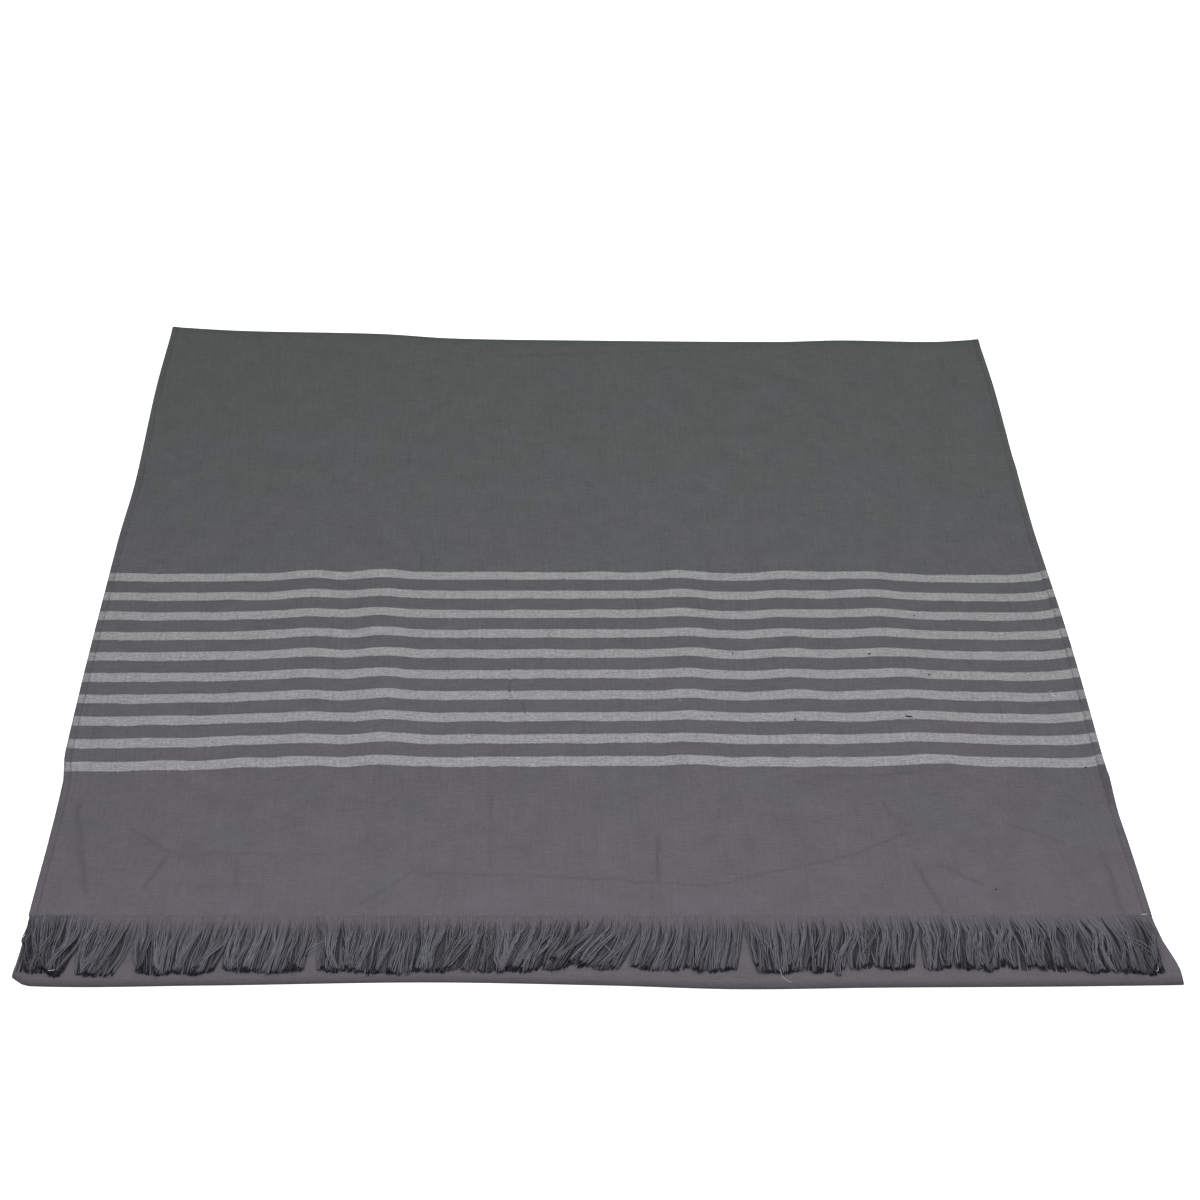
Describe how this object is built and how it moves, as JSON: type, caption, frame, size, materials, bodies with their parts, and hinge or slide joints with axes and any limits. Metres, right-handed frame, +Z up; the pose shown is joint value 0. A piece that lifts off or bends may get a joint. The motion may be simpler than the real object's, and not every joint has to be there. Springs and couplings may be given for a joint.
{
  "type": "hammam towel",
  "caption": "Flat-woven fringed hammam towel with pale cross stripes, folded once across and laid flat.",
  "frame": {"origin": "on the underside, at the middle of the cloth's width and halfway between its two folds", "axes": "+Z up, +X across the cloth to the right, +Y from the near fold to the far fold; the visible fringe points to -Y"},
  "size_m": [1.0112, 0.9193, 0.0072],
  "materials": {
    "woven_cotton": "matt flat weave, dark grey with a set of pale heathered cross stripes",
    "loose_warp_ends": "matt dark grey yarn ends, untwisted"
  },
  "bodies": {
    "root": {"cloth": "woven_cotton", "fringe_upper": "loose_warp_ends", "fringe_tucked": "loose_warp_ends"}
  },
  "joints": []
}
